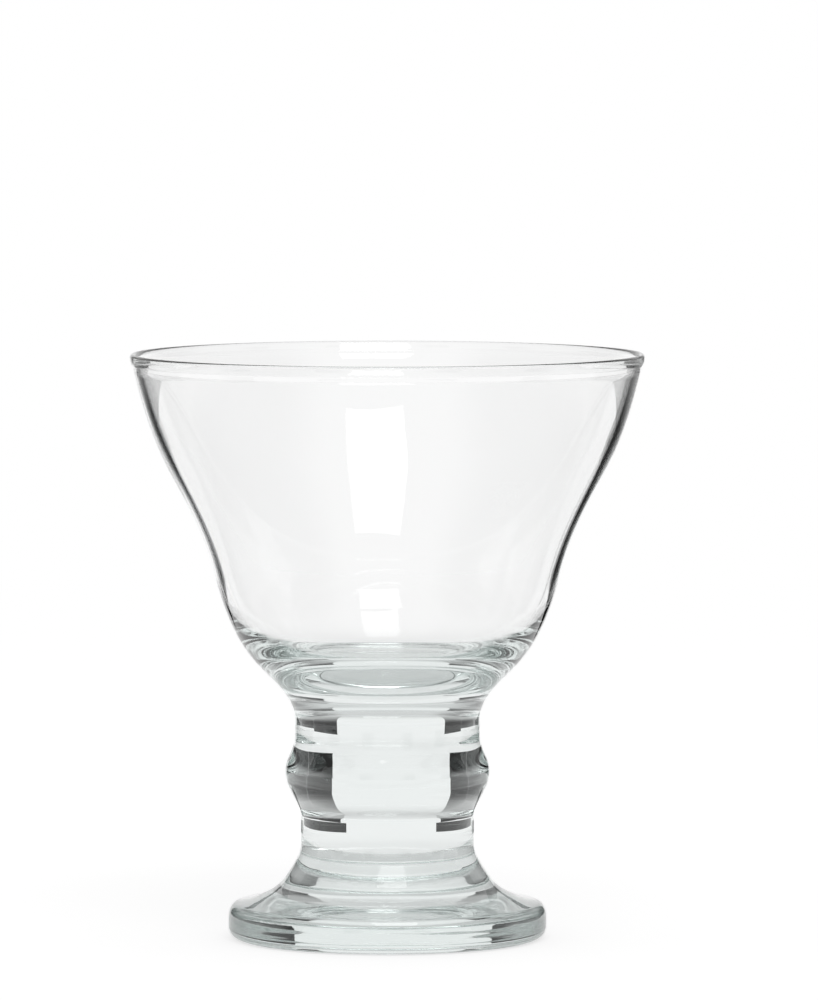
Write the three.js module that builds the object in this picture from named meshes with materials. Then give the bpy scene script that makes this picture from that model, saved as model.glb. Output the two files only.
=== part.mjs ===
import * as THREE from 'three';

// A footed glass bowl for ice cream: three gathers of clear glass, a bowl, a knopped stem and a foot,
// each a solid of revolution, fused at the flat faces of the two necks. Lengths are in millimetres and
// leans in degrees, measured outwards from vertical as the wall climbs. Each piece is measured from its
// own bottom face.

// Necks, where the pieces are fused
const UPPER_NECK_DIAMETER = 36.6;
const LOWER_NECK_DIAMETER = 34.2;

// Foot
const FOOT_HEIGHT = 21.6;
const FOOT_DIAMETER = 63;
const FOOT_EDGE_ROUND = 2.3;
const FOOT_EDGE_BAND = 1.9;
const FOOT_TOP_ROUND = 2.8;
const FOOT_TOP_SETBACK = 1.5;
const FOOT_TOP_LEAN = -78;
const INSTEP_DIAMETER = 40.6;
const INSTEP_RISE = 5;
const INSTEP_LEAN = -34;
const FOOT_NECK_LAND = 2.6;
const RESTING_RING_WIDTH = 3;
const UNDERSIDE_HOLLOW = 1;

// Stem: a straight cone under the knop, and a round shoulder over it
const STEM_LENGTH = 20.4;
const STEM_LOWER_LAND = 2.6;
const CONE_FOOT_DIAMETER = 35.1;
const CONE_FOOT_RISE = 1.9;
const CONE_DIAMETER = 39.2;
const CONE_RISE = 4.1;
const CONE_LEAN = 26.5;
const KNOP_DIAMETER = 40.4;
const KNOP_RISE = 3.1;
const STEM_UPPER_LAND = 1.9;

// Outside of the bowl, from its neck to its rim
const BOWL_HEIGHT = 73.8;
const BOWL_NECK_LAND = 1.4;
const BELLY_DIAMETER = 51.4;
const BELLY_RISE = 11;
const BELLY_LEAN = 43;
const HEEL_DIAMETER = 60.4;
const HEEL_RISE = 6.6;
const HEEL_LEAN = 26.4;
const WAIST_DIAMETER = 68.4;
const WAIST_RISE = 11.5;
const WAIST_LEAN = 14.5;
const FLARE_DIAMETER = 84.6;
const FLARE_RISE = 18.7;
const FLARE_LEAN = 29;
const RIM_DIAMETER = 101.6;

// Lip: it stands out over a crease in the outer wall, and its top corner is rounded
const LIP_HEIGHT = 2.6;
const LIP_STEP = 0.6;
const LIP_LEAN = 40;
const LIP_ROUND = 0.6;
const LIP_RUN_OFF = 20;
const CREASE_LEAN = 12.5;

// Inside of the bowl: its walls are measured square to the outside
const RIM_WALL = 1.4;
const FLARE_WALL = 1.5;
const WAIST_WALL = 1.5;
const HEEL_WALL = 2;
const INNER_HEEL_LEAN = 33;
const FLOOR_THICKNESS = 10;

// Fineness of the turned surfaces
const SIDES = 48;
const STEPS_PER_CURVE = 5;

const glass = {
  color: 0xeef4f0,
  roughness: 0.03,
  metalness: 0,
  transparent: true,
  opacity: 0.35,
};

// The way up along a wall of the given lean.
function wayUp(lean) {
  const angle = THREE.MathUtils.degToRad(lean);
  return new THREE.Vector2(Math.sin(angle), Math.cos(angle));
}

// A point that a wall passes through, with the lean it has there.
function station(diameter, height, lean) {
  return { point: new THREE.Vector2(diameter / 2, height), lean };
}

// The station straight inside a wall, seen square to it, with a lean of its own.
function inside(outer, wall, lean) {
  const up = wayUp(outer.lean);
  const inwards = new THREE.Vector2(-up.y, up.x);
  return { point: outer.point.clone().addScaledVector(inwards, wall), lean };
}

// Takes a profile from one station to the next, up or down, in one curve that holds both leans.
function sweepWall(profile, from, to) {
  const reach = from.point.distanceTo(to.point) / 3;
  const sense = Math.sign(to.point.y - from.point.y);
  const leave = from.point.clone().addScaledVector(wayUp(from.lean), sense * reach);
  const arrive = to.point.clone().addScaledVector(wayUp(to.lean), -sense * reach);
  profile.bezierCurveTo(leave.x, leave.y, arrive.x, arrive.y, to.point.x, to.point.y);
}

// Turns a closed half profile about the upright axis and names the piece.
function turnedPiece(name, profile, height) {
  const geometry = new THREE.LatheGeometry(profile.getPoints(STEPS_PER_CURVE), SIDES);
  geometry.rotateX(Math.PI / 2);
  const piece = new THREE.Mesh(geometry, new THREE.MeshStandardMaterial(glass));
  piece.name = name;
  piece.position.z = height;
  return piece;
}

// The foot stands on a flat ring round a shallow hollow, and its top sweeps up into the lower neck.
function footProfile() {
  const rim = FOOT_DIAMETER / 2;
  const ringOuter = rim - FOOT_EDGE_ROUND;
  const bandTop = station(FOOT_DIAMETER, FOOT_EDGE_ROUND + FOOT_EDGE_BAND, 0);
  const topEdge = station(
    FOOT_DIAMETER - 2 * FOOT_TOP_SETBACK,
    bandTop.point.y + FOOT_TOP_ROUND,
    FOOT_TOP_LEAN,
  );
  const instep = station(INSTEP_DIAMETER, topEdge.point.y + INSTEP_RISE, INSTEP_LEAN);
  const neck = station(LOWER_NECK_DIAMETER, FOOT_HEIGHT - FOOT_NECK_LAND, 0);
  const profile = new THREE.Path();
  profile.moveTo(0, UNDERSIDE_HOLLOW);
  const hollowRim = ringOuter - RESTING_RING_WIDTH;
  profile.quadraticCurveTo(hollowRim / 2, UNDERSIDE_HOLLOW, hollowRim, 0);
  profile.lineTo(ringOuter, 0);
  profile.absarc(ringOuter, FOOT_EDGE_ROUND, FOOT_EDGE_ROUND, -Math.PI / 2, 0, false);
  profile.lineTo(bandTop.point.x, bandTop.point.y);
  sweepWall(profile, bandTop, topEdge);
  sweepWall(profile, topEdge, instep);
  sweepWall(profile, instep, neck);
  profile.lineTo(neck.point.x, FOOT_HEIGHT);
  profile.lineTo(0, FOOT_HEIGHT);
  return profile;
}

// The stem is solid and swells into one knop between its two necks.
function stemProfile() {
  const lower = station(LOWER_NECK_DIAMETER, STEM_LOWER_LAND, 0);
  const coneFoot = station(CONE_FOOT_DIAMETER, lower.point.y + CONE_FOOT_RISE, CONE_LEAN);
  const coneTop = station(CONE_DIAMETER, coneFoot.point.y + CONE_RISE, CONE_LEAN);
  const knop = station(KNOP_DIAMETER, coneTop.point.y + KNOP_RISE, 0);
  const upper = station(UPPER_NECK_DIAMETER, STEM_LENGTH - STEM_UPPER_LAND, 0);
  const profile = new THREE.Path();
  profile.moveTo(0, 0);
  profile.lineTo(lower.point.x, 0);
  profile.lineTo(lower.point.x, lower.point.y);
  sweepWall(profile, lower, coneFoot);
  profile.lineTo(coneTop.point.x, coneTop.point.y);
  sweepWall(profile, coneTop, knop);
  sweepWall(profile, knop, upper);
  profile.lineTo(upper.point.x, STEM_LENGTH);
  profile.lineTo(0, STEM_LENGTH);
  return profile;
}

// The bowl swells above its neck, draws in to a steep waist, flares and ends in an everted lip.
function bowlProfile() {
  const neck = station(UPPER_NECK_DIAMETER, BOWL_NECK_LAND, 0);
  const belly = station(BELLY_DIAMETER, neck.point.y + BELLY_RISE, BELLY_LEAN);
  const heel = station(HEEL_DIAMETER, belly.point.y + HEEL_RISE, HEEL_LEAN);
  const waist = station(WAIST_DIAMETER, heel.point.y + WAIST_RISE, WAIST_LEAN);
  const flare = station(FLARE_DIAMETER, waist.point.y + FLARE_RISE, FLARE_LEAN);

  // Above its crease the lip swells to the full diameter, rounds over and runs off into the inner wall.
  const crease = station(RIM_DIAMETER - 2 * LIP_STEP, BOWL_HEIGHT - LIP_HEIGHT, CREASE_LEAN);
  const lipFoot = { point: crease.point, lean: LIP_LEAN };
  const lipEdge = station(RIM_DIAMETER, BOWL_HEIGHT - LIP_ROUND, 0);
  const corner = new THREE.Vector2(lipEdge.point.x - LIP_ROUND, lipEdge.point.y);
  const runOff = THREE.MathUtils.degToRad(180 - LIP_RUN_OFF);
  const lipInside = {
    point: new THREE.Vector2(Math.cos(runOff), Math.sin(runOff)).multiplyScalar(LIP_ROUND).add(corner),
    lean: LIP_RUN_OFF,
  };
  const innerRim = inside(crease, RIM_WALL, CREASE_LEAN);
  const innerFlare = inside(flare, FLARE_WALL, FLARE_LEAN);
  const innerWaist = inside(waist, WAIST_WALL, WAIST_LEAN);
  const innerHeel = inside(heel, HEEL_WALL, INNER_HEEL_LEAN);
  const floor = station(0, FLOOR_THICKNESS, 90);

  const profile = new THREE.Path();
  profile.moveTo(0, 0);
  profile.lineTo(neck.point.x, 0);
  profile.lineTo(neck.point.x, neck.point.y);
  sweepWall(profile, neck, belly);
  sweepWall(profile, belly, heel);
  sweepWall(profile, heel, waist);
  sweepWall(profile, waist, flare);
  sweepWall(profile, flare, crease);
  sweepWall(profile, lipFoot, lipEdge);
  profile.absarc(corner.x, corner.y, LIP_ROUND, 0, Math.PI / 2, false);
  profile.absarc(corner.x, corner.y, LIP_ROUND, Math.PI / 2, runOff, false);
  sweepWall(profile, lipInside, innerRim);
  sweepWall(profile, innerRim, innerFlare);
  sweepWall(profile, innerFlare, innerWaist);
  sweepWall(profile, innerWaist, innerHeel);
  sweepWall(profile, innerHeel, floor);
  return profile;
}

const iceCreamBowl = new THREE.Group();
iceCreamBowl.add(turnedPiece('foot', footProfile(), 0));
iceCreamBowl.add(turnedPiece('stem', stemProfile(), FOOT_HEIGHT));
iceCreamBowl.add(turnedPiece('bowl', bowlProfile(), FOOT_HEIGHT + STEM_LENGTH));

export default iceCreamBowl;
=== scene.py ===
import math

import bpy
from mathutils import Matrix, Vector


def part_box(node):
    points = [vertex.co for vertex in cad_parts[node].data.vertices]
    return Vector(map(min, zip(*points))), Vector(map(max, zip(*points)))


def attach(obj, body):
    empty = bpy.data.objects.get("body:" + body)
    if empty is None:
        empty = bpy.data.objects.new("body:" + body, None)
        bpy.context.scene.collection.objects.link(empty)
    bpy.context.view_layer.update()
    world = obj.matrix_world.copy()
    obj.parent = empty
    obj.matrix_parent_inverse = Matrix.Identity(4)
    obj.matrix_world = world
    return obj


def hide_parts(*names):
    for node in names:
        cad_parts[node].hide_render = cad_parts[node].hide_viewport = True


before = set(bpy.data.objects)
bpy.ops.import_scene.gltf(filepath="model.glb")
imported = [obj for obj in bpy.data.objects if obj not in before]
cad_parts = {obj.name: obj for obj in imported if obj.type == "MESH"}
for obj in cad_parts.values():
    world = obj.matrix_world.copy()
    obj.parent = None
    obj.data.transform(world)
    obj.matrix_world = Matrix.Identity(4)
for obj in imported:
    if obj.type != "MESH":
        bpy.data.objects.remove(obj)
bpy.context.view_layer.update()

MM = 0.001

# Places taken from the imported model: the highest corner of each piece's box.
FOOT_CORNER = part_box("foot")[1]
STEM_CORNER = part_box("stem")[1]
BOWL_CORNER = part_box("bowl")[1]
FOOT_RADIUS = FOOT_CORNER.x
KNOP_RADIUS = STEM_CORNER.x
RIM_RADIUS = BOWL_CORNER.x
LOWER_WELD = FOOT_CORNER.z
UPPER_WELD = STEM_CORNER.z
RIM_HEIGHT = BOWL_CORNER.z

# The turned sections between those places. A station is a radius, a height over the piece's own base and
# the wall's lean there, in degrees outwards from upright as the wall climbs.
UPPER_NECK_RADIUS = 18.3 * MM
LOWER_NECK_RADIUS = 17.1 * MM

FOOT_EDGE_ROUND = 2.3 * MM
FOOT_BAND_TOP = 4.2 * MM
FOOT_TOP_EDGE = (FOOT_RADIUS - 1.5 * MM, 7.0 * MM, -78)
INSTEP = (20.3 * MM, 12.0 * MM, -34)
FOOT_NECK_LAND = 2.6 * MM
RESTING_RING_WIDTH = 3.0 * MM
UNDERSIDE_HOLLOW = 1.0 * MM

STEM_LOWER_LAND = 2.6 * MM
CONE_LEAN = 26.5
CONE_FOOT = (17.55 * MM, 4.5 * MM, CONE_LEAN)
CONE_TOP = (19.6 * MM, 8.6 * MM, CONE_LEAN)
KNOP = (KNOP_RADIUS, 11.7 * MM, 0)
STEM_UPPER_LAND = 1.9 * MM

BOWL_NECK_LAND = 1.4 * MM
BELLY = (25.7 * MM, 12.4 * MM, 43)
HEEL = (30.2 * MM, 19.0 * MM, 26.4)
WAIST = (34.2 * MM, 30.5 * MM, 14.5)
FLARE = (42.3 * MM, 49.2 * MM, 29)
CREASE_LEAN = 12.5
LIP_HEIGHT = 2.6 * MM
LIP_STEP = 0.6 * MM
LIP_LEAN = 40
LIP_ROUND = 0.6 * MM
LIP_RUN_OFF = 20

# Walls of the bowl, measured square to the outside.
RIM_WALL = 1.4 * MM
FLARE_WALL = 1.5 * MM
WAIST_WALL = 1.5 * MM
HEEL_WALL = 2.0 * MM
INNER_HEEL_LEAN = 33
FLOOR_THICKNESS = 10.0 * MM

# Each fused face stands this far from the plane of its weld, so that light meets one and then the other.
WELD_ROOM = 0.005 * MM
WELD_TOLERANCE = WELD_ROOM / 5

# Fineness of the turned skins, and the sharpest bend that is still shaded smooth.
SIDES = 240
CURVE_STEPS = 14
CREASE_ANGLE = math.radians(30)
MERGE_DISTANCE = 0.0005 * MM


def way_up(lean):
    """The way up along a wall of this lean, in radius and height."""
    angle = math.radians(lean)
    return Vector((math.sin(angle), math.cos(angle)))


def station(radius, height, lean):
    """A place that a wall passes through, and its lean there."""
    return Vector((radius, height)), lean


def inside(outer, wall, lean):
    """The station straight inside a wall, with a lean of its own."""
    at, outer_lean = outer
    up = way_up(outer_lean)
    return at + Vector((-up.y, up.x)) * wall, lean


class Section:
    """Half of a turned section, drawn knot by knot in radius and height."""

    def __init__(self, radius, height):
        self.knots = [{"at": Vector((radius, height)), "lean": None}]

    def line(self, radius, height, lean=None):
        """A straight run."""
        self.knots[-1]["leave"] = None
        self.knots.append({"at": Vector((radius, height)), "arrive": None, "lean": lean})

    def curve(self, leave, arrive, at, lean=None):
        """One curve that leaves and arrives by its two handles."""
        self.knots[-1]["leave"] = leave
        self.knots.append({"at": at, "arrive": arrive, "lean": lean})

    def sweep(self, to, from_lean=None):
        """One curve to the next station that holds the leans at both ends."""
        at, lean = to
        start = self.knots[-1]["at"]
        start_lean = self.knots[-1]["lean"] if from_lean is None else from_lean
        reach = (at - start).length / 3
        sense = 1 if at.y > start.y else -1
        leave = start + way_up(start_lean) * sense * reach
        arrive = at - way_up(lean) * sense * reach
        self.curve(leave, arrive, at, lean)

    def arc(self, centre, radius, start, end):
        """A round between two angles about a centre."""
        reach = radius * 4 / 3 * math.tan((end - start) / 4)

        def spoke(angle):
            return Vector((math.cos(angle), math.sin(angle)))

        def along(angle):
            return Vector((-math.sin(angle), math.cos(angle)))

        leave = centre + spoke(start) * radius + along(start) * reach
        at = centre + spoke(end) * radius
        self.curve(leave, at - along(end) * reach, at)


def turn(name, section):
    """Draws a section as a Bezier curve and spins it into a closed piece."""
    bpy.ops.object.select_all(action="DESELECT")
    bpy.ops.curve.primitive_bezier_curve_add(location=(0, 0, 0))
    drawn = bpy.context.object
    drawn.name = name
    drawn.data.resolution_u = CURVE_STEPS
    spline = drawn.data.splines[0]
    spline.bezier_points.add(len(section.knots) - 2)
    for point, knot in zip(spline.bezier_points, section.knots):
        arrive = knot.get("arrive")
        leave = knot.get("leave")
        point.handle_left_type = "FREE" if arrive else "VECTOR"
        point.handle_right_type = "FREE" if leave else "VECTOR"
        point.co = (knot["at"].x, 0, knot["at"].y)
        if arrive:
            point.handle_left = (arrive.x, 0, arrive.y)
        if leave:
            point.handle_right = (leave.x, 0, leave.y)
    bpy.ops.object.convert(target="MESH")
    bpy.ops.object.mode_set(mode="EDIT")
    bpy.ops.mesh.select_all(action="SELECT")
    bpy.ops.mesh.spin(steps=SIDES, angle=math.tau, center=(0, 0, 0), axis=(0, 0, 1))
    bpy.ops.mesh.select_all(action="SELECT")
    bpy.ops.mesh.remove_doubles(threshold=MERGE_DISTANCE)
    bpy.ops.mesh.normals_make_consistent(inside=False)
    bpy.ops.object.mode_set(mode="OBJECT")
    bpy.ops.object.shade_smooth_by_angle(angle=CREASE_ANGLE)
    piece = bpy.context.object
    piece.data.name = name
    return piece


def finish_glass(piece, node, weld_heights):
    """Gives the piece its glass, and marks the fused faces that light runs straight through."""
    piece.data.materials.append(GLASS)
    fused = piece.data.attributes.new("fused", "FLOAT", "FACE")
    for face in piece.data.polygons:
        on_weld = any(abs(face.center.z - height) < WELD_TOLERANCE for height in weld_heights)
        fused.data[face.index].value = 1 if on_weld else 0
    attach(piece, "root")
    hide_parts(node)


def make_foot():
    """The foot stands on a flat ring round a shallow hollow and sweeps up into the lower neck."""
    ring_outer = FOOT_RADIUS - FOOT_EDGE_ROUND
    hollow_rim = Vector((ring_outer - RESTING_RING_WIDTH, 0))
    hollow_top = Vector((0, UNDERSIDE_HOLLOW))
    hollow_shoulder = Vector((hollow_rim.x / 2, UNDERSIDE_HOLLOW))
    pull = 2 / 3
    weld = LOWER_WELD - WELD_ROOM
    section = Section(*hollow_top)
    section.curve(
        hollow_top.lerp(hollow_shoulder, pull), hollow_rim.lerp(hollow_shoulder, pull), hollow_rim)
    section.line(ring_outer, 0)
    section.arc(Vector((ring_outer, FOOT_EDGE_ROUND)), FOOT_EDGE_ROUND, -math.pi / 2, 0)
    section.line(FOOT_RADIUS, FOOT_BAND_TOP, 0)
    section.sweep(station(*FOOT_TOP_EDGE))
    section.sweep(station(*INSTEP))
    section.sweep(station(LOWER_NECK_RADIUS, LOWER_WELD - FOOT_NECK_LAND, 0))
    section.line(LOWER_NECK_RADIUS, weld)
    section.line(0, weld)
    finish_glass(turn("glass_foot", section), "foot", [weld])


def make_stem():
    """The stem is solid: a straight cone under the knop and a round shoulder over it."""
    lower = LOWER_WELD + WELD_ROOM
    upper = UPPER_WELD - WELD_ROOM
    section = Section(0, lower)
    section.line(LOWER_NECK_RADIUS, lower)
    section.line(LOWER_NECK_RADIUS, LOWER_WELD + STEM_LOWER_LAND, 0)
    for radius, rise, lean in (CONE_FOOT, CONE_TOP, KNOP):
        section.sweep(station(radius, LOWER_WELD + rise, lean))
    section.sweep(station(UPPER_NECK_RADIUS, UPPER_WELD - STEM_UPPER_LAND, 0))
    section.line(UPPER_NECK_RADIUS, upper)
    section.line(0, upper)
    finish_glass(turn("glass_stem", section), "stem", [lower, upper])


def make_bowl():
    """The bowl swells over its neck, draws in to a steep waist, flares and ends in a turned-out lip."""
    def above_weld(radius, rise, lean):
        return station(radius, UPPER_WELD + rise, lean)

    belly, heel, waist, flare = (above_weld(*place) for place in (BELLY, HEEL, WAIST, FLARE))
    crease = station(RIM_RADIUS - LIP_STEP, RIM_HEIGHT - LIP_HEIGHT, CREASE_LEAN)
    lip_centre = Vector((RIM_RADIUS - LIP_ROUND, RIM_HEIGHT - LIP_ROUND))
    run_off = math.radians(180 - LIP_RUN_OFF)
    weld = UPPER_WELD + WELD_ROOM
    section = Section(0, weld)
    section.line(UPPER_NECK_RADIUS, weld)
    section.line(UPPER_NECK_RADIUS, UPPER_WELD + BOWL_NECK_LAND, 0)
    for place in (belly, heel, waist, flare, crease):
        section.sweep(place)
    section.sweep(station(RIM_RADIUS, lip_centre.y, 0), from_lean=LIP_LEAN)
    section.arc(lip_centre, LIP_ROUND, 0, math.pi / 2)
    section.arc(lip_centre, LIP_ROUND, math.pi / 2, run_off)
    section.sweep(inside(crease, RIM_WALL, CREASE_LEAN), from_lean=LIP_RUN_OFF)
    section.sweep(inside(flare, FLARE_WALL, flare[1]))
    section.sweep(inside(waist, WAIST_WALL, waist[1]))
    section.sweep(inside(heel, HEEL_WALL, INNER_HEEL_LEAN))
    section.sweep(above_weld(0, FLOOR_THICKNESS, 90))
    finish_glass(turn("glass_bowl", section), "bowl", [weld])


def linear(hex_colour):
    """An sRGB hex colour as linear red, green, blue and alpha."""
    def channel(start):
        value = int(hex_colour[start:start + 2], 16) / 255
        return value / 12.92 if value <= 0.04045 else ((value + 0.055) / 1.055) ** 2.4

    return channel(1), channel(3), channel(5), 1


def add_node(tree, kind, inputs=None, **settings):
    """Adds a node, sets it up, and fills or links its inputs."""
    node = tree.nodes.new(kind)
    for name, value in settings.items():
        setattr(node, name, value)
    for name, value in (inputs or {}).items():
        if isinstance(value, bpy.types.NodeSocket):
            tree.links.new(value, node.inputs[name])
        else:
            node.inputs[name].default_value = value
    return node


def new_material(name):
    """An empty material and its node tree."""
    material = bpy.data.materials.new(name)
    material.use_nodes = True
    material.node_tree.nodes.clear()
    return material, material.node_tree


WHITE = linear("#FFFFFF")

# Soda-lime glass, pressed in a mould and fire-polished.
GLASS_IOR = 1.52
GLASS_TINT = linear("#DFE8E6")
GLASS_DENSITY = 14
SKIN_WAVE_LENGTH = 14 * MM
SKIN_WAVE_HEIGHT = 0.02 * MM
# The lines round the foot are drawn coarser than real ones, which are too fine to show.
TOOL_LINE_LENGTH = 22 * MM
TOOL_LINE_SPACING = 1.6 * MM
TOOL_LINE_HEIGHT = 0.09 * MM
TOOL_LINE_FADE = (11 * MM, 19 * MM)
SMUDGE_LENGTH = 16 * MM
SMUDGE_SPREAD = (0.5, 0.75)
SMUDGE_ROUGHNESS = 0.04
SCRATCH_LENGTH = 0.5 * MM
SCRATCH_SPREAD = (0.4, 0.65)
SCUFF_ROUGHNESS = 0.3
SCUFF_TOP = 1.2 * MM


def pressed_glass():
    """Clear, with a grey-green cast where light runs far through it. The fire-polished skin is smooth but
    waves a little, so that reflections wander at their edges, and fine lines run round the foot and
    draw the light out into streaks. It carries faint smudges, and the ring it stands on is scuffed."""
    material, tree = new_material("pressed_soda_lime_glass")
    place = add_node(tree, "ShaderNodeTexCoord").outputs["Object"]
    fused = add_node(tree, "ShaderNodeAttribute", attribute_name="fused").outputs["Fac"]

    wave = add_node(tree, "ShaderNodeTexNoise", {
        "Vector": place, "Scale": 1 / SKIN_WAVE_LENGTH, "Detail": 0})
    wavy = add_node(tree, "ShaderNodeBump", {
        "Height": wave.outputs["Fac"], "Strength": 1, "Distance": SKIN_WAVE_HEIGHT})

    height = add_node(tree, "ShaderNodeSeparateXYZ", {0: place}).outputs["Z"]
    drawn_out = add_node(tree, "ShaderNodeMapping", {
        "Vector": place, "Scale": (1 / TOOL_LINE_LENGTH, 1 / TOOL_LINE_LENGTH, 1 / TOOL_LINE_SPACING)})
    line_noise = add_node(tree, "ShaderNodeTexNoise", {
        "Vector": drawn_out.outputs[0], "Scale": 1, "Detail": 1})
    low_down = add_node(tree, "ShaderNodeMapRange", {
        "Value": height, "From Min": TOOL_LINE_FADE[0], "From Max": TOOL_LINE_FADE[1],
        "To Min": 1, "To Max": 0})
    tool_lines = add_node(tree, "ShaderNodeMath", {
        0: line_noise.outputs["Fac"], 1: low_down.outputs[0]}, operation="MULTIPLY")
    skin = add_node(tree, "ShaderNodeBump", {
        "Height": tool_lines.outputs[0], "Strength": 1, "Distance": TOOL_LINE_HEIGHT,
        "Normal": wavy.outputs[0]})

    smudge_noise = add_node(tree, "ShaderNodeTexNoise", {
        "Vector": place, "Scale": 1 / SMUDGE_LENGTH, "Detail": 3})
    smudges = add_node(tree, "ShaderNodeMapRange", {
        "Value": smudge_noise.outputs["Fac"], "From Min": SMUDGE_SPREAD[0], "From Max": SMUDGE_SPREAD[1],
        "To Max": SMUDGE_ROUGHNESS})
    scratch_noise = add_node(tree, "ShaderNodeTexNoise", {
        "Vector": place, "Scale": 1 / SCRATCH_LENGTH, "Detail": 2})
    scratches = add_node(tree, "ShaderNodeMapRange", {
        "Value": scratch_noise.outputs["Fac"], "From Min": SCRATCH_SPREAD[0], "From Max": SCRATCH_SPREAD[1],
        "To Max": SCUFF_ROUGHNESS})
    near_table = add_node(tree, "ShaderNodeMapRange", {
        "Value": height, "From Min": 0, "From Max": SCUFF_TOP, "To Min": 1, "To Max": 0})
    scuffs = add_node(tree, "ShaderNodeMath", {
        0: scratches.outputs[0], 1: near_table.outputs[0]}, operation="MULTIPLY")
    worn = add_node(tree, "ShaderNodeMath", {
        0: smudges.outputs[0], 1: scuffs.outputs[0]}, operation="MAXIMUM")
    bare = add_node(tree, "ShaderNodeMath", {0: 1.0, 1: fused}, operation="SUBTRACT")
    roughness = add_node(tree, "ShaderNodeMath", {
        0: worn.outputs[0], 1: bare.outputs[0]}, operation="MULTIPLY")

    glass = add_node(tree, "ShaderNodeBsdfPrincipled", {
        "Base Color": WHITE, "Roughness": roughness.outputs[0], "Normal": skin.outputs[0],
        "Transmission Weight": 1, "IOR": GLASS_IOR})
    # Light crosses a fused face as if nothing were there.
    bending = add_node(tree, "ShaderNodeMath", {
        0: fused, 1: 1 - GLASS_IOR, 2: GLASS_IOR}, operation="MULTIPLY_ADD")
    tree.links.new(bending.outputs[0], glass.inputs["IOR"])
    body = add_node(tree, "ShaderNodeVolumeAbsorption", {"Color": GLASS_TINT, "Density": GLASS_DENSITY})
    add_node(tree, "ShaderNodeOutputMaterial", {"Surface": glass.outputs[0], "Volume": body.outputs[0]})
    return material


# Studio. The camera sees the white sweep at full white; the glass sees it a little under.
SWEEP_IN_GLASS = 0.97
CEILING_IN_GLASS = 0.72
CEILING_RISE = (0.2, 0.5)
SWEEP_FILL = 0.45
DARK_SIDE_LEVEL = 0.1
DARK_SIDE_TURN = (0.4, 0.8)
DARK_SIDE_RISE = (0.05, 0.4)
FLOOR_RADIUS = 3.0
FLOOR_SIDES = 64
FLOOR_DROP = 0.1 * MM
FLOOR_GREY = linear("#BCBCBC")
NEAR_FLOOR_SEEN = 0.76
NEAR_FLOOR_IN_GLASS = 0.70
FLOOR_FADE = (0.3, 0.9)
# The cards' painted levels: painted shade near black low down, painted grey light high up, and painted light
# at the front end.
CARD_PAINTED_SHADE = 0.025
CARD_PAINTED_LIGHT_HIGH = 0.45
CARD_FADE_HEIGHT = (0.045, 0.13)
CARD_PAINTED_LIGHT_FRONT = 0.9


def through_glass(tree, light):
    """1 for rays that reach a surface by the glass, mirrored or bent."""
    either = add_node(tree, "ShaderNodeMath", {
        0: light.outputs["Is Glossy Ray"], 1: light.outputs["Is Transmission Ray"]}, operation="MAXIMUM")
    return either.outputs[0]


def white_sweep():
    """A white sweep under a paler ceiling, dim high up on both sides, as the glass sees them."""
    world = bpy.data.worlds.new("studio")
    bpy.context.scene.world = world
    world.use_nodes = True
    tree = world.node_tree
    tree.nodes.clear()
    light = add_node(tree, "ShaderNodeLightPath")
    place = add_node(tree, "ShaderNodeTexCoord")
    way = add_node(tree, "ShaderNodeSeparateXYZ", {0: place.outputs["Generated"]})
    sideways = add_node(tree, "ShaderNodeMath", {0: way.outputs["X"]}, operation="ABSOLUTE")
    aside = add_node(tree, "ShaderNodeMapRange", {
        "Value": sideways.outputs[0], "From Min": DARK_SIDE_TURN[0], "From Max": DARK_SIDE_TURN[1]},
        interpolation_type="SMOOTHSTEP")
    high = add_node(tree, "ShaderNodeMapRange", {
        "Value": way.outputs["Z"], "From Min": DARK_SIDE_RISE[0], "From Max": DARK_SIDE_RISE[1]},
        interpolation_type="SMOOTHSTEP")
    dim = add_node(tree, "ShaderNodeMath", {0: aside.outputs[0], 1: high.outputs[0]}, operation="MULTIPLY")
    overhead = add_node(tree, "ShaderNodeMapRange", {
        "Value": way.outputs["Z"], "From Min": CEILING_RISE[0], "From Max": CEILING_RISE[1],
        "To Min": SWEEP_IN_GLASS, "To Max": CEILING_IN_GLASS}, interpolation_type="SMOOTHSTEP")
    mirrored = add_node(tree, "ShaderNodeMapRange", {
        "Value": dim.outputs[0], "To Min": overhead.outputs[0], "To Max": DARK_SIDE_LEVEL})
    seen_level = add_node(tree, "ShaderNodeMath", {
        0: mirrored.outputs[0], 1: light.outputs["Is Camera Ray"]}, operation="MAXIMUM")
    seen = add_node(tree, "ShaderNodeMath", {
        0: light.outputs["Is Camera Ray"], 1: through_glass(tree, light)}, operation="MAXIMUM")
    sweep = add_node(tree, "ShaderNodeBackground", {"Color": WHITE, "Strength": seen_level.outputs[0]})
    fill = add_node(tree, "ShaderNodeBackground", {"Color": WHITE, "Strength": SWEEP_FILL})
    mix = add_node(tree, "ShaderNodeMixShader", {0: seen.outputs[0], 1: fill.outputs[0], 2: sweep.outputs[0]})
    add_node(tree, "ShaderNodeOutputWorld", {"Surface": mix.outputs[0]})


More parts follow.
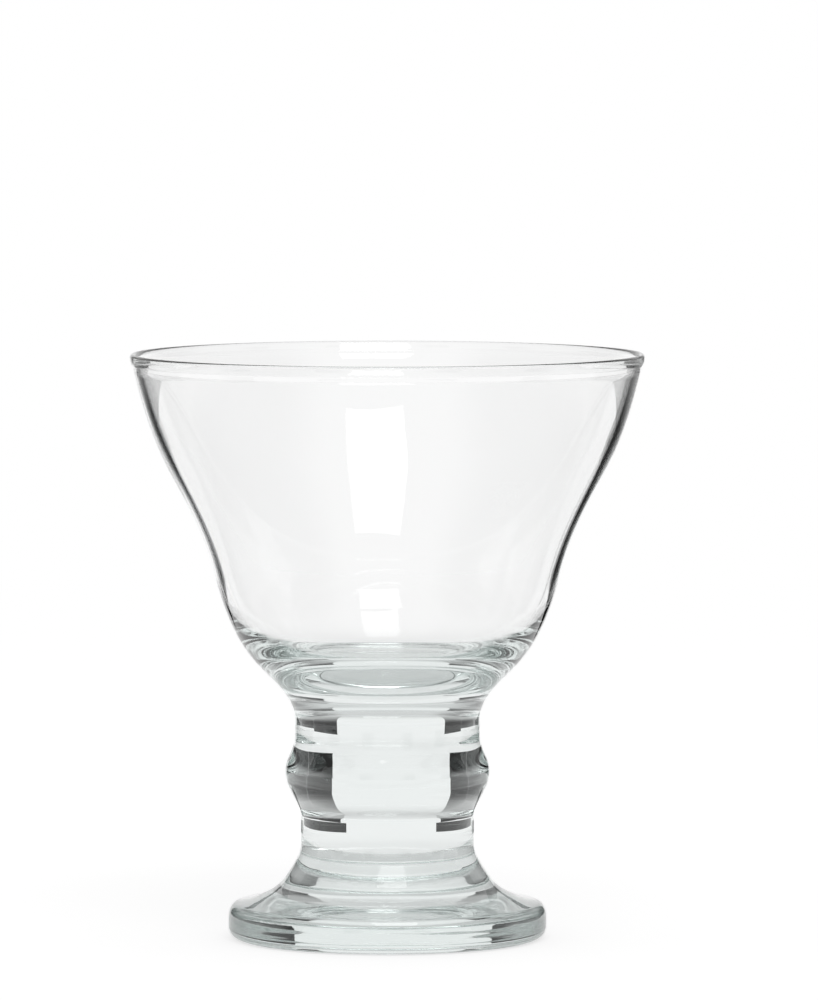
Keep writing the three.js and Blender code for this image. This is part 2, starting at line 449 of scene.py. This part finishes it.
def pale_floor():
    """White paper that keeps the shadow near the glass and runs into the sweep farther off."""
    material, tree = new_material("white_paper")
    light = add_node(tree, "ShaderNodeLightPath")
    by_glass = through_glass(tree, light)
    matt = add_node(tree, "ShaderNodeBsdfDiffuse", {"Color": FLOOR_GREY})
    seen_fill = add_node(tree, "ShaderNodeMath", {
        0: light.outputs["Is Camera Ray"], 1: NEAR_FLOOR_SEEN}, operation="MULTIPLY")
    fill = add_node(tree, "ShaderNodeMath", {
        0: by_glass, 1: NEAR_FLOOR_IN_GLASS, 2: seen_fill.outputs[0]}, operation="MULTIPLY_ADD")
    glow = add_node(tree, "ShaderNodeEmission", {"Color": WHITE, "Strength": fill.outputs[0]})
    near = add_node(tree, "ShaderNodeAddShader", {0: matt.outputs[0], 1: glow.outputs[0]})
    far_level = add_node(tree, "ShaderNodeMath", {
        0: by_glass, 1: SWEEP_IN_GLASS, 2: light.outputs["Is Camera Ray"]}, operation="MULTIPLY_ADD")
    far = add_node(tree, "ShaderNodeEmission", {"Color": WHITE, "Strength": far_level.outputs[0]})
    place = add_node(tree, "ShaderNodeTexCoord")
    reach = add_node(tree, "ShaderNodeVectorMath", {0: place.outputs["Object"]}, operation="LENGTH")
    fade = add_node(tree, "ShaderNodeMapRange", {
        "Value": reach.outputs["Value"], "From Min": FLOOR_FADE[0], "From Max": FLOOR_FADE[1]})
    mix = add_node(tree, "ShaderNodeMixShader", {0: fade.outputs[0], 1: near.outputs[0], 2: far.outputs[0]})
    add_node(tree, "ShaderNodeOutputMaterial", {"Surface": mix.outputs[0]})
    bpy.ops.object.select_all(action="DESELECT")
    bpy.ops.mesh.primitive_circle_add(
        vertices=FLOOR_SIDES, radius=FLOOR_RADIUS, fill_type="NGON", location=(0, 0, -FLOOR_DROP))
    floor = bpy.context.object
    floor.name = "floor"
    floor.data.materials.append(material)


def painted_light_card(name, front_fade):
    """A card that glows at painted levels and is not lit black paper: painted shade near black low down,
    painted grey light higher up, and painted light at its front end that fades into the shade.
    """
    material, tree = new_material("painted_light_" + name)
    place = add_node(tree, "ShaderNodeTexCoord")
    spot = add_node(tree, "ShaderNodeSeparateXYZ", {0: place.outputs["Object"]})
    along = add_node(tree, "ShaderNodeSeparateXYZ", {0: place.outputs["UV"]})
    # Painted shade low down, turning to painted grey light higher up.
    dark = add_node(tree, "ShaderNodeMapRange", {
        "Value": spot.outputs["Z"], "From Min": CARD_FADE_HEIGHT[0], "From Max": CARD_FADE_HEIGHT[1],
        "To Min": CARD_PAINTED_SHADE, "To Max": CARD_PAINTED_LIGHT_HIGH})
    # Painted light at the front end, fading into the painted shade along the card.
    level = add_node(tree, "ShaderNodeMapRange", {
        "Value": along.outputs["X"], "From Min": 0, "From Max": front_fade,
        "To Min": CARD_PAINTED_LIGHT_FRONT, "To Max": dark.outputs[0]}, interpolation_type="SMOOTHSTEP")
    glow = add_node(tree, "ShaderNodeEmission", {"Color": WHITE, "Strength": level.outputs[0]})
    add_node(tree, "ShaderNodeOutputMaterial", {"Surface": glow.outputs[0]})
    return material


def stand_card(name, front, back, foot, top, front_fade):
    """Stands a card upright between two points of the floor plan, seen only in and through the glass."""
    front, back = Vector(front), Vector(back)
    way = back - front
    middle = (front + back) / 2
    bpy.ops.object.select_all(action="DESELECT")
    bpy.ops.mesh.primitive_plane_add(
        size=1, location=(middle.x, middle.y, (foot + top) / 2),
        rotation=(math.pi / 2, 0, math.atan2(way.y, way.x)))
    card = bpy.context.object
    card.name = name
    card.scale = (way.length, top - foot, 1)
    bpy.ops.object.transform_apply(location=True, rotation=True, scale=True)
    card.data.materials.append(painted_light_card(name, front_fade))
    card.visible_camera = False
    card.visible_diffuse = False
    card.visible_shadow = False


# The cards are the dark sides of the studio, as sheets that glow at painted levels of shade and light, which
# the stem shows as blocks and the walls as dark lines.
# Their floor plan in metres: front end and back end, then the heights of the lower and upper edges, and the
# share of the length over which the front end fades in. But for the two thin neck cards, they leave the
# straight and diagonal ways through the bowl free.
CARDS = {
    "stem_card_right": ((0.235, 0.283), (0.0927, 0.235), 0, 0.17, 0.02),
    "neck_card_right": ((0.033, 0.0287), (0.0068, 0.042), 0.0172, 0.0197, 0.02),
    "corner_card_right": ((0.40, 0.24), (0.27, 0.345), 0, 0.24, 0.02),
    "side_card_right": ((0.45, 0.10), (0.40, 0.24), 0, 0.24, 0.3),
    "flank_card_right": ((0.36, -0.065), (0.32, -0.18), 0, 0.2, 0.6),
    "front_card_right": ((0.10, -0.40), (0.20, -0.34), 0, 0.2, 0.5),
    "stem_card_left": ((-0.235, 0.283), (-0.113, 0.235), 0, 0.17, 0.02),
    "neck_card_left": ((-0.033, 0.0287), (-0.0089, 0.042), 0.0172, 0.0197, 0.02),
    "corner_card_left": ((-0.40, 0.24), (-0.27, 0.345), 0, 0.24, 0.02),
    "side_card_left": ((-0.45, 0.10), (-0.40, 0.24), 0, 0.24, 0.3),
    "flank_card_left": ((-0.36, -0.065), (-0.32, -0.18), 0, 0.2, 0.6),
    "front_card_left": ((-0.10, -0.40), (-0.20, -0.34), 0, 0.2, 0.5),
}

# Key softbox: its place round from the camera's side to the right and up, in degrees, and its face in metres.
KEY_AZIMUTH = 7.5
KEY_ELEVATION = 51
KEY_DISTANCE = 1.2
KEY_WIDTH = 0.56
KEY_HEIGHT = 0.5
KEY_RADIANCE = 2.6
KEY_TARGET = Vector((0, 0, 0.06))


def key_softbox():
    """One soft lamp over the camera, which the bowl mirrors as a bright window."""
    azimuth, elevation = math.radians(KEY_AZIMUTH), math.radians(KEY_ELEVATION)
    level = math.cos(elevation)
    way = Vector((math.sin(azimuth) * level, -math.cos(azimuth) * level, math.sin(elevation)))
    bpy.ops.object.light_add(type="AREA", location=KEY_TARGET + way * KEY_DISTANCE)
    lamp = bpy.context.object
    lamp.name = "key_softbox"
    lamp.data.shape = "RECTANGLE"
    lamp.data.size = KEY_WIDTH
    lamp.data.size_y = KEY_HEIGHT
    lamp.data.energy = KEY_RADIANCE * math.pi * KEY_WIDTH * KEY_HEIGHT
    lamp.rotation_euler = way.to_track_quat("Z", "Y").to_euler()


# Place in metres, tilt down and yaw in degrees, lens and film height in millimetres.
CAMERA_PLACE = (0, -1.752, 0.2058)
CAMERA_TILT = 3.885
CAMERA_YAW = -0.1395
CAMERA_LENS = 320
CAMERA_FILM = 36


def photo_camera():
    """The camera of the photograph, a little above the rim and far off."""
    turned = (math.radians(90 - CAMERA_TILT), 0, math.radians(CAMERA_YAW))
    bpy.ops.object.camera_add(location=CAMERA_PLACE, rotation=turned)
    camera = bpy.context.object
    camera.data.sensor_fit = "VERTICAL"
    camera.data.sensor_height = CAMERA_FILM
    camera.data.lens = CAMERA_LENS
    bpy.context.scene.camera = camera


GLASS = pressed_glass()
make_foot()
make_stem()
make_bowl()
white_sweep()
pale_floor()
for card_name, card_plan in CARDS.items():
    stand_card(card_name, *card_plan)
key_softbox()
photo_camera()

scene = bpy.context.scene
scene.view_settings.view_transform = "Standard"
# Light crosses many faces of the glass before it leaves.
scene.cycles.max_bounces = 32
scene.cycles.transmission_bounces = 24
scene.cycles.glossy_bounces = 16
scene.cycles.transparent_max_bounces = 32
scene.cycles.caustics_reflective = False
scene.cycles.caustics_refractive = False
